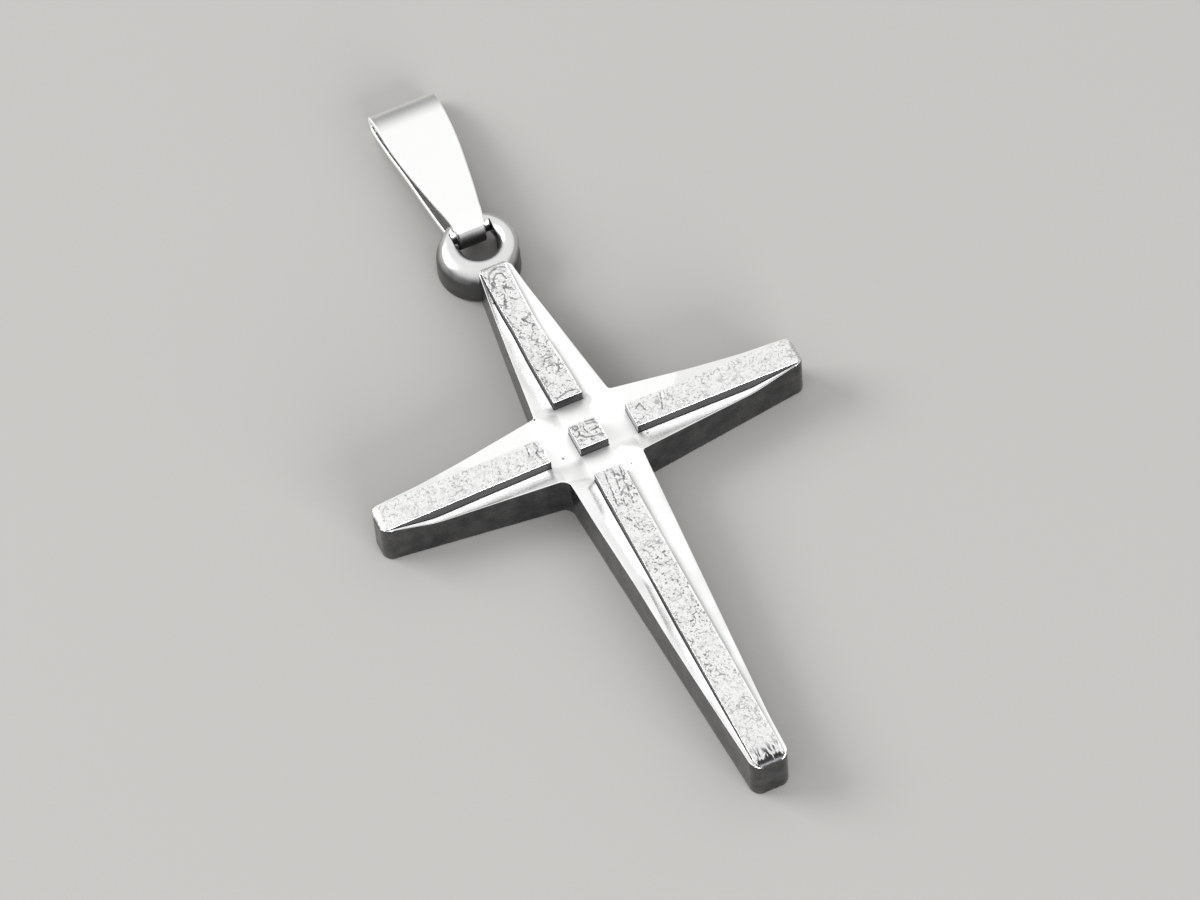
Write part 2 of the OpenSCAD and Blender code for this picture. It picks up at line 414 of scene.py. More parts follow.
def polished_silver(finish):
    """Sterling silver, cast, filed and buffed by hand: a bright mirror with soft waves and fine marks."""
    mat, tree, shader, place = metal("polished_sterling_silver")

    # Buffing leaves patches some millimetres wide that are a little duller and greyer.
    patches = remap(tree, noise(tree, place, 0.3, 3.0, roughness=0.35), 0.48, 0.58)
    patches = math_node(tree, "MULTIPLY", patches, attribute(tree, "inner"))
    tone = blend(tree, patches, finish.silver, finish.worn)

    # The crossing round the raised square is only rubbed with fine paper.
    rough = remap(tree, noise(tree, place, 0.7, 3.0), 0.3, 0.7, 0.14, 0.22)
    rough = math_node(tree, "MULTIPLY_ADD", attribute(tree, "level"), 0.3, rough)

    # Painted shade in the corners below the walls, and grime in the pores that the photograph shows.
    dark = attribute(tree, "grime_and_shade")
    flat = vector_node(tree, "MULTIPLY", place, (1, 1, HEIGHT_SHARE))
    for x, y in PORES:
        away = vector_node(tree, "DISTANCE", flat, (x, y, PORE_HEIGHT * HEIGHT_SHARE), "Value")
        dark = math_node(tree, "MAXIMUM", remap(tree, away, PORE_RADIUS, PORE_MIDDLE), dark)
    fill(tree, shader, {"Base Color": blend(tree, dark, tone, finish.grime_and_shade), "Roughness": rough})

    # Buffing marks about 0.05 mm apart and some tenths of a millimetre long.
    marks = noise(tree, stretch(tree, place, (2.2, 20.0, 12.0), 35), 1.0)
    fine = bump(tree, shader, marks, 0.05, 0.004)
    bump(tree, shader, noise(tree, place, 0.9, 1.0), 0.2, 0.02, fine)
    return mat


def strap_silver(finish):
    """Silver strip, rolled and mirror polished, but rougher where it runs through the eyelet and rubs, and
    painted dark there as shade.
    """
    mat, tree, shader, place = metal("mirror_polished_silver_strip")
    rub_and_shading = remap(tree, split(tree, place)["Y"], *STRAP_SHADE_EDGE)
    rough = remap(tree, noise(tree, place, 0.6), 0.3, 0.7, 0.15, 0.2)
    rough = math_node(tree, "MULTIPLY_ADD", rub_and_shading, 0.25, rough)

    # Its sheared edges aren't buffed.
    rough = math_node(tree, "MULTIPLY_ADD", attribute(tree, "sheared"), 0.35, rough)
    # The part through the eyelet is painted dark, as shade.
    tone = blend(tree, rub_and_shading, finish.silver, finish.painted_shade)
    fill(tree, shader, {"Base Color": tone, "Roughness": rough})
    bump(tree, shader, noise(tree, place, 0.5, 1.0), 0.3, 0.02)
    return mat


def dashes(tree, place, seed, per_mm, width_mm, keep):
    """Thin curved strokes, 1 on a stroke: a noise's contour lines, with all but a share of them left out."""
    field = noise(tree, place, per_mm, 1.5, seed)
    off = math_node(tree, "ABSOLUTE", math_node(tree, "SUBTRACT", field, 0.5))
    line = remap(tree, off, width_mm * per_mm, width_mm * per_mm * 0.4)
    gaps = remap(tree, noise(tree, place, per_mm * 1.3, 1.0, seed + 11), 0.5 - keep, 0.55 - keep)
    return math_node(tree, "MULTIPLY", line, gaps)


def cast_silver(finish):
    """Sterling silver as it left the mould, brushed over: nearly white, with fine dark strokes and pits."""
    mat, tree, shader, place = metal("crinkled_cast_silver")
    axes = split(tree, place)

    # Curls, dashes and pits a pixel or so wide, as fine as the render can show.
    strokes = dashes(tree, place, 3.0, 1.9, 0.014, -0.02)
    for seed, per_mm, width, keep in ((7.0, 4.2, 0.012, -0.05), (13.0, 7.5, 0.012, -0.08)):
        strokes = math_node(tree, "MAXIMUM", dashes(tree, place, seed, per_mm, width, keep), strokes)

    # They are fainter in places, and towards the ends of the side arms and the foot.
    for fade in (
        remap(tree, noise(tree, place, 0.8, 1.0), 0.3, 0.6, 0.35, 0.78),
        remap(tree, math_node(tree, "ABSOLUTE", axes["X"]), *SIDE_FADE, 1.0, 0.6),
        remap(tree, axes["Y"], *FOOT_FADE, 1.0, 0.65),
    ):
        strokes = math_node(tree, "MULTIPLY", strokes, fade)

    # The listed strokes are dented, and partly rubbed clean.
    worn = remap(tree, noise(tree, place, 2.5, 2.0), 0.3, 0.5, 0.45, 0.9)
    hand = math_node(tree, "MULTIPLY", attribute(tree, "stroke"), worn)
    strokes = math_node(tree, "MAXIMUM", strokes, hand)

    # The lower tip is crumpled, with black streaks that run off its end, and painted shade on its
    # rolled-over lip.
    scratched = noise(tree, stretch(tree, place, (7.0, 1.6, 1.6)), 1.0, 2.0)
    lip_shade = remap(tree, axes["Y"], *TIP_LIP_SHADE, 0.0, 0.2)
    streaks = remap(tree, math_node(tree, "ADD", scratched, lip_shade), 0.47, 0.54)
    streaks = math_node(tree, "MULTIPLY", streaks, remap(tree, axes["Y"], *TIP_STREAKS))
    strokes = math_node(tree, "MAXIMUM", streaks, strokes)
    # Painted shade where the crinkles and the grain lie deep.
    shade = remap(tree, attribute(tree, "relief_depth"), 0.2, 1.0, 0.0, 0.25)
    tone = blend(tree, shade, finish.cast, finish.painted_shade)

    # Cast grain about 0.06 mm across, and the strokes' own depth.
    grain = noise(tree, place, 16.0, 3.0, roughness=0.6)
    rough = remap(tree, grain, 0.3, 0.7, 0.26, 0.4)
    fill(tree, shader, {"Base Color": blend(tree, strokes, tone, finish.grime_and_shade), "Roughness": rough})
    fine = bump(tree, shader, grain, 0.3, 0.01)
    bump(tree, shader, math_node(tree, "SUBTRACT", 1.0, strokes), 0.5, 0.015, fine)
    return mat


def shaded_side_silver(finish):
    """Sterling silver, rubbed down but never buffed: the outer sides, dull, and painted dark as shade."""
    mat, tree, shader, place = metal("satin_silver_painted_shade")
    # The sides' colour is painted shade, lighter or darker in random clouds.
    clouds = remap(tree, noise(tree, place, 1.3, 4.0), 0.3, 0.7, 0.4, 1.0)

    # Sandpaper marks about 0.07 mm apart, along the sides.
    marks = noise(tree, stretch(tree, place, (3.0, 3.0, 14.0)), 1.0, 3.0)
    rough = remap(tree, marks, 0.3, 0.7, 0.2, 0.32)
    fill(tree, shader, {"Base Color": blend(tree, clouds, finish.grime_and_shade, finish.side_shade), "Roughness": rough})
    bump(tree, shader, marks, 0.25, 0.006)
    return mat


def eyelet_silver(finish):
    """Sterling silver on the eyelet: buffed on top where the wheel reaches, and dull below, with painted
    light on its top and painted shade on its lower flank.
    """
    mat, tree, shader, place = metal("half_buffed_sterling_silver")
    axes = split(tree, place)
    height = math_node(tree, "MULTIPLY_ADD", noise(tree, place, 1.3, 4.0), 0.3, axes["Z"])
    # Painted shading: lighter towards the top and darker towards the foot.
    tone = blend(tree, remap(tree, height, *EYELET_SHADING_HEIGHT), finish.painted_shade, finish.rub_and_shading)
    rough = remap(tree, height, *BUFF_HEIGHT, 0.4, 0.25)

    # The edges of the seat that the strap runs in are painted darker.
    aside = math_node(tree, "ABSOLUTE", math_node(tree, "SUBTRACT", axes["X"], SEAT_MIDDLE))
    off = math_node(tree, "ABSOLUTE", math_node(tree, "SUBTRACT", aside, SEAT_HALF))
    edge = remap(tree, off, 0.06, 0.03)
    for ends in (SEAT_DARK_NEAR, SEAT_DARK_FAR):
        edge = math_node(tree, "MULTIPLY", edge, remap(tree, axes["Y"], *ends))
    fill(tree, shader, {"Base Color": blend(tree, edge, tone, finish.grime_and_shade), "Roughness": rough})
    bump(tree, shader, noise(tree, place, 5.0, 3.0), 0.12, 0.01)
    return mat


def shaded_wall_silver(finish):
    """Silver walls beside the bars, smooth from the cutter, and painted dark as shade."""
    mat, tree, shader, place = metal("wall_silver_painted_shade")

    # The walls round the crossing get the darkest painted shade.
    tone = blend(tree, attribute(tree, "level"), finish.painted_shade, finish.grime_and_shade)
    fill(tree, shader, {"Base Color": tone, "Roughness": 0.2})
    bump(tree, shader, noise(tree, place, 8.0), 0.1, 0.006)
    return mat


def floor_paper(finish):
    """Matt seamless paper."""
    mat, tree, shader, place = start_material("matt_studio_paper")
    fill(tree, shader, {"Base Color": linear(finish.floor), "Roughness": 0.9})
    bump(tree, shader, noise(tree, place, 1.5), 0.1, 0.02)
    return mat


# The cast cross, in millimetres

# For each arm: its turn from +X, the width at its end, and the radius of the corner on its low side, which
# is the right one looking outwards. Then, as measured, how the cast wanders along it, as (place, value)
# pairs: the bar's half width and the height of the facet's inner line, on the low side and the high side.
ARMS = {
    "right": {
        "turn": 0, "end": 1.68, "corner": 0.12,
        "low": [(2.26, 0.72), (6, 0.72), (11, 0.74)],
        "high": [(2.26, 0.72), (6, 0.7), (11, 0.76)],
        "low_line": [(2.6, 2.02), (6, 1.95), (8.2, 1.9), (10.9, 2.46)],
        "high_line": [(2.6, 2.02), (6, 1.98), (8.4, 2.1), (10.9, 2.46)],
    },
    "up": {
        "turn": 90, "end": 1.76, "corner": 0.12,
        "low": [(2.26, 0.72), (4.3, 0.66), (5.8, 0.57), (7.2, 0.49), (9.5, 0.55), (11.2, 0.6)],
        "high": [(2.26, 0.77), (5.2, 0.79), (7, 0.74), (8.8, 0.79), (11.2, 0.76)],
        "low_line": [(2.3, 2.02), (6, 1.97), (9.4, 1.98), (11.2, 2.2)],
        "high_line": [(2.6, 2.02), (6, 1.93), (8.0, 1.95), (9.4, 2.08), (10.9, 2.42)],
    },
    "left": {
        "turn": 180, "end": 1.68, "corner": 0.12,
        "low": [(2.26, 0.72), (6, 0.71), (11, 0.76)],
        "high": [(2.26, 0.72), (6, 0.72), (11, 0.74)],
        "low_line": [(2.6, 2.02), (6, 1.98), (8.4, 2.1), (10.9, 2.46)],
        "high_line": [(2.6, 2.02), (6, 1.94), (8.4, 1.88), (10.7, 2.44)],
    },
    "down": {
        "turn": 270, "end": 1.92, "corner": 0.4,
        "low": [(2.26, 0.72), (8, 0.72), (20.2, 0.74)],
        "high": [(2.26, 0.72), (8, 0.7), (20.2, 0.76)],
        "low_line": [
            (2.6, 2.02), (4.4, 1.94), (8.5, 2.12), (11.5, 2.0), (14.3, 2.06), (16, 2.14), (17.6, 2.26),
            (20.1, 2.42),
        ],
        "high_line": [(2.3, 2.02), (9, 1.98), (14, 1.95), (17.6, 1.92), (20.0, 2.44)],
    },
}
# The deepest strokes in the cast texture, as measured lines of (x, y) points.
STROKES = (
    ((-0.65, 0.63), (-0.33, 0.58), (-0.32, 0.4), (-0.52, 0.37), (-0.55, 0.54)),
    ((-0.38, 0.25), (-0.39, 0.02), (-0.23, -0.17), (0.06, -0.28), (0.62, -0.34)),
    ((0.12, 0.64), (0.56, 0.58)),
    ((0.13, 0.49), (0.57, 0.43)),
    ((-0.03, 0.44), (-0.08, 0.23), (0.06, -0.07)),
    ((0.16, 0.06), (0.6, 0.09)),
    ((-0.26, -2.49), (-0.32, -3.18), (-0.48, -4.43)),
    ((0.16, -2.46), (0.08, -3.13), (-0.11, -4.45)),
    ((0.52, -2.47), (0.42, -3.22), (0.35, -4.18), (0.27, -4.56)),
    ((0.63, -2.83), (0.4, -3.19)),
    ((4.01, 0.55), (3.9, 0.11), (3.73, -0.32)),
    ((2.62, 0.27), (2.88, 0.45), (3.0, -0.02)),
    ((-2.56, 0.6), (-2.45, 0.28), (-2.69, 0.04), (-2.55, -0.4)),
    ((-2.95, 0.5), (-3.0, 0.1)),
    ((-0.5, 2.44), (0.14, 2.62), (0.51, 2.56)),
    ((-0.1, 4.36), (0.27, 4.43), (0.37, 4.05), (0.05, 3.79)),
    ((-0.32, 4.47), (-0.06, 4.84), (0.31, 4.82)),
    ((-0.6, 10.1), (-0.5, 10.5), (-0.21, 10.76), (0.21, 10.8), (0.46, 10.66)),
    ((-0.4, 9.8), (-0.36, 10.25), (-0.1, 10.5), (0.16, 10.4), (0.24, 10.0)),
)
STROKE_HALF = 0.022
STROKE_DEPTH = 0.02
# Radii of the arms' ends in plan, of their rolled tops, of the back's edge, and at the bars' feet.
END_ROUND = 0.52
END_ROLL = 0.4
BACK_ROUND = 0.08
WALL_FOOT = 0.02
# Height of the polished strips round the raised square, and how far they dip over this span beside it.
MOAT = 2.02
MOAT_DIP = 0.05
DIP_SPAN = (0.1, 1.15)
# Mesh lines: inside and outside a bar's wall, over the facet as shares of it, and inside the arm's edge.
# They squeeze together where a facet is narrower than FULL_ROOM, and keep LEAST_ROOM for it.
NEAR_WALL = (0.03, 0.012, 0.003, 0.0)
CORNER_SHADE_REACH = 0.045
PAST_WALL = (0.004, 0.02, CORNER_SHADE_REACH)
FACET_SHARES = (0.14, 0.32, 0.5, 0.68, 0.86)
NEAR_EDGE = (0.05, 0.025, 0.008, 0.0)
LEAST_ROOM = 0.06
FULL_ROOM = 0.14
BAR_END_ROWS = (-0.02, -0.004, 0.0, 0.003, 0.012, 0.03)
WALL_SHARES = (0.97, 0.72, 0.45, 0.2)
BACK_ANGLES = (0, 22, 45, 68, 90)
# Painted shade lies in the corners below walls that are at least this high, and the texture and the
# crossing's own finish fade over these widths.
CORNER_SHADE_WIDTH = 0.6 * CORNER_SHADE_REACH
WALL_SEEN = 0.1
TEXTURE_FADE = 0.09
LEVEL_FADE = 0.3
WELD = 0.0006
# A face is a wall where its direction's z is below STEEP, a wall painted in shade where it faces the foot or
# the left arm by the next value or more, and textured or within the edge above these values of its masks.
STEEP = 0.45
SHADED_FACING = -0.3
TEXTURED = 0.3
WITHIN = 0.99


def along(table, s):
    """Reads a list of (place, value) pairs at the places s, with the corners between its runs softened."""
    places, values = np.array(table).T
    return np.mean([np.interp(s + shift, places, values) for shift in np.linspace(-0.4, 0.4, 9)], 0)


def half_width(size, arm, reach, s):
    """Half the arm's width, with its rounded end."""
    root = size.root_width / MM / 2
    end = arm["end"] / 2
    first = reach - END_ROUND
    taper = root + (end - root) * np.clip((s - root) / (first - root), 0, 1)
    return taper - rounded(reach - s, END_ROUND)


def bar_height(size, reach, s):
    """Height of the bars' top, rolled over at the arm's end."""
    crossing, end = size.crossing_height / MM, size.end_height / MM
    flat = crossing + (end - crossing) * np.clip(s / (reach - END_ROLL), 0, 1)
    return flat - rounded(reach - s, END_ROLL)


def side_lines(half, bar, cells):
    """Places of the mesh lines on one side of an arm, from its middle to its edge, for each row."""
    bar = np.minimum(bar, half - LEAST_ROOM)
    squeeze = np.minimum(1, (half - bar) / FULL_ROOM)
    lines = [bar * k / cells for k in range(cells)]
    lines += [bar - near for near in NEAR_WALL]
    lines += [bar + past * squeeze for past in PAST_WALL]
    first, last = lines[-1], half - NEAR_EDGE[0] * squeeze
    lines += [first + (last - first) * share for share in FACET_SHARES]
    lines += [half - near * squeeze for near in NEAR_EDGE]
    return np.stack(lines, -1), bar


def groove_height(t, bar, line, tilt):
    """Height of a tilted facet at a distance from the arm's middle, from its inner line outwards."""
    return line + np.maximum(np.abs(t) - bar, 0) * math.tan(tilt)


def moat_height(t, bar, tilt):
    """Height of the polished strips round the raised square, a little below the facets they run into."""
    out = np.maximum(np.abs(t) - bar, 0)
    return MOAT + np.maximum(out * math.tan(tilt) - MOAT_DIP * (1 - smooth(out, *DIP_SPAN)), 0)


def arm_rows(size, reach):
    """Places of the mesh's rows along an arm, which lie closer together at either end of its bar."""
    root, start, step = size.root_width / MM / 2, size.bar_start / MM, size.grid / MM
    last = reach - END_ROLL
    inner = list(np.linspace(root, start - 0.03, 6)) + [start + row for row in BAR_END_ROWS]
    middle = list(np.linspace(start + 0.05, last, int(round((last - start - 0.05) / step))))
    outer = [last + END_ROLL * math.sin(math.radians(a)) for a in range(8, 91, 8)] + [reach]
    return np.array(inner + middle + outer)


def round_corner(s, t, bar, half, root, r):
    """Moves the points beside the corner between two arms outwards, and less so towards the bar."""
    share = np.clip((np.abs(t) - bar) / np.maximum(half - bar, 1e-6), 0, 1) ** 2
    away = s - root
    tuck = r * (1 - math.sqrt(0.5))
    moved = np.clip(tuck + away * (1 - tuck / r), 0, r)
    out = rounded(moved / r, 1) * r * (away < r)
    return s + share * np.where(away < r, moved - away, 0), t + np.sign(t) * share * out


def arm_points(size, arm, reach, next_corner):
    """The grid on top of one arm, in the arm's own directions: its points, its two masks and its shape."""
    root, start = size.root_width / MM / 2, size.bar_start / MM
    bar_half, tilt = size.bar_width / MM / 2, size.facet_tilt
    cells = int(round(bar_half / (size.grid / MM)))
    s = arm_rows(size, reach)

    half = half_width(size, arm, reach, s)
    low_bar = np.where(s < start - 0.01, bar_half, along(arm["low"], s))
    high_bar = np.where(s < start - 0.01, bar_half, along(arm["high"], s))
    low_lines, low_bar = side_lines(half, low_bar, cells)
    high_lines, high_bar = side_lines(half, high_bar, cells)
    t = np.concatenate([-low_lines[:, :0:-1], high_lines], 1)
    s = np.repeat(s[:, None], t.shape[1], 1)
    half = np.repeat(half[:, None], t.shape[1], 1)
    bar = np.where(t < 0, low_bar[:, None], high_bar[:, None])
    line = np.where(t < 0, along(arm["low_line"], s), along(arm["high_line"], s))

    top = bar_height(size, reach, s)
    inside = np.minimum(bar - np.abs(t), s - start)
    on_bar = inside > -1e-6
    groove = groove_height(t, bar, line, tilt)
    moat = moat_height(t, bar_half, tilt)
    low = np.minimum(moat + (groove - moat) * smooth(s, root, start), top)
    cut = top - rounded(inside, size.cut_radius / MM)
    foot = rounded(-inside, WALL_FOOT) * ((s > start) | (np.abs(t) < bar))
    z = np.where(on_bar, np.maximum(cut, low), np.minimum(low + foot, top))
    z -= rounded(half - np.abs(t), size.edge_radius / MM)

    off_edge = np.abs(np.abs(t) - half) > 0.001
    # Painted shade goes in the corners below the bar's walls that are high enough to be seen.
    corner = (inside < -0.001) & (inside > -CORNER_SHADE_WIDTH) & (z < top - WALL_SEEN)
    s, t = round_corner(s, t, bar, half, root, np.where(t < 0, arm["corner"], next_corner))
    return np.stack([s, t, z], -1), smooth(inside, 0.0, TEXTURE_FADE), off_edge * 1.0 + corner, s.shape


def centre_points(size):
    """The square grid on the crossing: its points, its two masks and its shape."""
    root, bar = size.root_width / MM / 2, size.bar_width / MM / 2
    tilt, cells = size.facet_tilt, int(round(bar / (size.grid / MM)))
    line, _ = side_lines(np.array([root]), np.array([bar]), cells)
    line = np.concatenate([-line[0, :0:-1], line[0]])
    x, y = np.meshgrid(line, line, indexing="ij")
    across, up = np.abs(x), np.abs(y)

    inside = np.minimum(bar - across, bar - up)
    low = np.minimum(moat_height(x, bar, tilt), moat_height(y, bar, tilt))
    near = np.hypot(np.maximum(across - bar, 0), np.maximum(up - bar, 0))
    pad = size.crossing_height / MM - rounded(inside, size.cut_radius / MM)
    z = np.where(inside > -1e-6, pad, low + rounded(near, WALL_FOOT))
    z -= rounded(root - np.minimum(across, up), size.edge_radius / MM)

    # Its own corners move outwards with the rounded corners between the arms.
    east = np.where(y > 0, ARMS["up"]["corner"], ARMS["right"]["corner"])
    west = np.where(y > 0, ARMS["left"]["corner"], ARMS["down"]["corner"])
    tuck = np.where(x > 0, east, west) * (1 - math.sqrt(0.5))
    push = tuck * (np.clip(across - bar, 0, None) * np.clip(up - bar, 0, None) / (root - bar) ** 2) ** 2
    x = x + np.sign(x) * push
    y = y + np.sign(y) * push
    # Painted shade goes in the corners just outside the raised square.
    corner = (inside < -0.001) & (inside > -CORNER_SHADE_WIDTH)
    return np.stack([x, y, z], -1), smooth(inside, 0.0, TEXTURE_FADE), 1.0 + corner, x.shape


def stroke_mask(points):
    """1 on the listed strokes, and 0 away from them."""
    best = np.full(len(points), np.inf)
    for line in STROKES:
        for a, b in zip(line, line[1:]):
            a, b = np.array(a), np.array(b)
            k = np.clip((points[:, :2] - a) @ (b - a) / ((b - a) @ (b - a)), 0, 1)
            best = np.minimum(best, np.linalg.norm(points[:, :2] - a - k[:, None] * (b - a), axis=1))
    return smooth(-best, -2 * STROKE_HALF, -STROKE_HALF)


def outward(loop):
    """Unit directions pointing out of a closed loop of points that runs counterclockwise."""
    ahead = np.roll(loop, -1, 0) - np.roll(loop, 1, 0)
    out = np.stack([ahead[:, 1], -ahead[:, 0]], 1)
    return out / np.maximum(np.linalg.norm(out, axis=1, keepdims=True), 1e-9)


def wall_points(loop):
    """Rows of points from the top edge of the outline down to the flat back."""
    out = outward(loop[:, :2])
    rows = [loop]
    for share in WALL_SHARES:
        level = BACK_ROUND + (loop[:, 2] - BACK_ROUND) * share
        rows.append(np.column_stack([loop[:, :2], level]))
    for angle in BACK_ANGLES:
        a = math.radians(angle)
        inset = BACK_ROUND * (1 - math.cos(a))
        level = np.full(len(loop), BACK_ROUND * (1 - math.sin(a)))
        rows.append(np.column_stack([loop[:, :2] - out * inset, level]))
    return rows


def wall_faces(rows, n, first):
    """Quads between closed rows of n points each."""
    faces = []
    for k in range(rows - 1):
        a = first + k * n + np.arange(n)
        b = first + k * n + (np.arange(n) + 1) % n
        faces += np.stack([a, a + n, b + n, b], 1).tolist()
    return faces


def back_faces(rungs, n, base):
    """The flat back: a ladder of quads along each arm, a cap at each end, and a square in the middle."""
    faces = []
    for start, (rows, cols) in rungs:
        far = start + 2 * rows + cols - 3
        for i in range(rows - 1):
            quad = (start + i, start + i + 1, (far - i - 1) % n, (far - i) % n)
            faces.append([base + k for k in quad])
        faces.append([base + start + rows - 1 + k for k in range(cols)])
    faces.append([base + start for start, _ in rungs])
    return faces


def cross_mesh(size):
    """The closed mesh of the cross: five grids on top, the walls round them, and the flat back."""
    reaches = (size.side_reach, size.top_reach, size.side_reach, size.foot_reach)
    arms = list(ARMS.values())
    grids = [centre_points(size)]
    loop, rungs = [], []
    for k, (arm, reach) in enumerate(zip(arms, reaches)):
        block, *masks, shape = arm_points(size, arm, reach / MM, arms[(k + 1) % 4]["corner"])
        a = math.radians(arm["turn"])
        block = block @ np.array([[math.cos(a), math.sin(a), 0], [-math.sin(a), math.cos(a), 0], [0, 0, 1]])
        grids.append((block, *masks, shape))
        rungs.append((len(loop), shape))
        loop += [*block[:, 0], *block[-1, 1:-1], *block[:0:-1, -1]]

    faces = []
    total = 0
    for block, _, _, shape in grids:
        faces += grid_faces(*shape, total).tolist()
        total += shape[0] * shape[1]
    rows = wall_points(np.array(loop))
    n = len(loop)
    faces += wall_faces(len(rows), n, total)
    faces += back_faces(rungs, n, total + (len(rows) - 1) * n)

    bare = np.zeros(len(rows) * n)
    points = np.concatenate([grid[0].reshape(-1, 3) for grid in grids] + rows)
    texture = np.concatenate([np.ravel(grid[1]) for grid in grids] + [bare])
    inner = np.concatenate([np.ravel(grid[2]) for grid in grids] + [bare])
    stroke = stroke_mask(points) * smooth(texture, 0, 0.5)
    points[:, 2] -= STROKE_DEPTH * stroke
    start = size.bar_start / MM
    away = np.maximum(np.abs(points[:, 0]), np.abs(points[:, 1]))
    # The inner mask keeps the buffing patches off the edges; past 1 it carries the painted shade in the
    # corners.
    marks = {
        "texture": texture, "stroke": stroke, "level": smooth(-away, -start - LEVEL_FADE, -start),
        "inner": np.minimum(inner, 1), "grime_and_shade": np.clip(inner - 1, 0, 1),
    }
    return weld(points, faces, marks, WELD)


def crinkles(tree, got, place):
    """Creases along the borders between cells, bent by a slow wander and broken into dashes."""
    seed = got["Seed"]
    per_crinkle = math_node(tree, "DIVIDE", 1.0, got["Crinkle Size"])
    scaled = add(tree, "ShaderNodeVectorMath", {0: place, "Scale": per_crinkle}, operation="SCALE")
    scaled = scaled.outputs[0]
    wander = noise(tree, scaled, 1.1, 2.0, seed, out="Color")
    bend = {0: wander, 1: (0.9, 0.9, 0.9), 2: scaled}
    bent = add(tree, "ShaderNodeVectorMath", bend, operation="MULTIPLY_ADD").outputs[0]
    cells = add(
        tree, "ShaderNodeTexVoronoi", {"Vector": bent, "W": seed, "Scale": 1.0},
        voronoi_dimensions="4D", feature="DISTANCE_TO_EDGE",
    )
    crease = remap(tree, cells.outputs["Distance"], 0.02, 0.2, 1.0, 0.0)
    unbroken = remap(tree, noise(tree, scaled, 0.8, 1.0, seed), 0.4, 0.62)
    return math_node(tree, "MULTIPLY", crease, unbroken)


def coat_faces(tree, got, geometry, mask):
    """Gives each face its material: facets are polished, bars textured, and outer sides satin and painted
    dark as shade.

    The bars' walls get a material painted dark as shade where they face the foot or the left arm, and stay
    polished on their other sides.
    """
    facing = add(tree, "GeometryNodeInputNormal").outputs[0]
    steep = compare(tree, "LESS_THAN", split(tree, facing)["Z"], STEEP)
    turned = vector_node(tree, "DOT_PRODUCT", facing, (1.0, 1.0, 0.0), "Value")
    within = compare(tree, "GREATER_THAN", named(tree, "inner"), WITHIN)
    wall = both(tree, "AND", both(tree, "AND", steep, within), compare(tree, "LESS_THAN", turned, SHADED_FACING))
    side = both(tree, "NIMPLY", steep, within)
    textured = compare(tree, "GREATER_THAN", mask, TEXTURED)
    for where, label in ((None, "Polished"), (textured, "Textured"), (side, "Side"), (wall, "Wall")):
        inputs = {"Geometry": geometry, "Material": got[label]}
        if where:
            inputs["Selection"] = where
        geometry = add(tree, "GeometryNodeSetMaterial", inputs).outputs["Geometry"]
    return geometry


def relief_tree():
    """Geometry Nodes that press the cast texture into the points that carry the texture mask."""
    tree = new_tree("cast_texture", {
        "Float": ("Crinkle Size", "Crinkle Depth", "Grain Size", "Grain Depth", "Wave Depth", "Seed"),
        "Material": ("Polished", "Textured", "Side", "Wall"),
    })
    got = add(tree, "NodeGroupInput").outputs
    place = add(tree, "GeometryNodeInputPosition").outputs["Position"]
    mask = named(tree, "texture")

    # Crinkles, grain as the mould gave it, and slow waves across the bar.
    crinkle = crinkles(tree, got, place)
    per_grain = math_node(tree, "DIVIDE", 1.0, got["Grain Size"])
    grain = remap(tree, noise(tree, place, per_grain, 2.0, got["Seed"], 0.6), 0.35, 0.75, kind="LINEAR")
    wave = noise(tree, place, 0.9 / MM, 1.0, got["Seed"])

    # All depths go down from the bar's top, so the texture stays under the CAD model's height.
    deep = math_node(tree, "MULTIPLY", crinkle, got["Crinkle Depth"])
    deep = math_node(tree, "MULTIPLY_ADD", grain, got["Grain Depth"], deep)
    deep = math_node(tree, "MULTIPLY_ADD", wave, got["Wave Depth"], deep)
    down = math_node(tree, "MULTIPLY", math_node(tree, "MULTIPLY", deep, mask), -1.0)
    offset = add(tree, "ShaderNodeCombineXYZ", {"Z": down}).outputs[0]
    inputs = {"Geometry": got["Geometry"], "Offset": offset}
    pressed = add(tree, "GeometryNodeSetPosition", inputs).outputs["Geometry"]

    # Painted shade: the cast silver is darker where a crinkle or the grain lies deep, from 0 to 1.
    kept = store(tree, pressed, "relief_depth", math_node(tree, "MAXIMUM", crinkle, grain))
    real = add(tree, "GeometryNodeRealizeInstances", {"Geometry": coat_faces(tree, got, kept, mask)})
    add(tree, "NodeGroupOutput", {"Geometry": real.outputs["Geometry"]})
    return tree


class PENDANT_OT_cross(bpy.types.Operator):
    """Make the cast cross with its facets and textured bars"""

    bl_idname = "pendant.cross"
    bl_label = "Cross"

    def execute(self, context):
        scene = context.scene
        relief, finish = scene.pendant_relief, scene.pendant_finish
        work = show("work", cross_mesh(scene.pendant_cross))
        values = {
            "Crinkle Size": relief.crinkle_size, "Crinkle Depth": relief.crinkle_depth,
            "Grain Size": relief.grain_size, "Grain Depth": relief.grain_depth,
            "Wave Depth": relief.wave_depth, "Seed": float(relief.seed),
            "Polished": polished_silver(finish), "Textured": cast_silver(finish),
            "Side": shaded_side_silver(finish), "Wall": shaded_wall_silver(finish),
        }
        obj = run_tree(work, relief_tree(), values, "cast_cross")
        finish_piece(obj, "cross", "cross", 40)
        return {"FINISHED"}


# The eyelet, in millimetres

# Mesh lines round the rim's section, and round the ring.
SECTION_LINES = 72
RING_LINES = 360
# The height where the wall's shoulder starts, the radii of its foot and of the bore's foot, how much wider
# than the hole the bore is, and the share of the section's outside that the rim keeps.
SHOULDER = 0.9
EYELET_FOOT = 0.15
BORE_FOOT = 0.04
BORE_GAP = 0.06
RIM_SHARE = 0.45
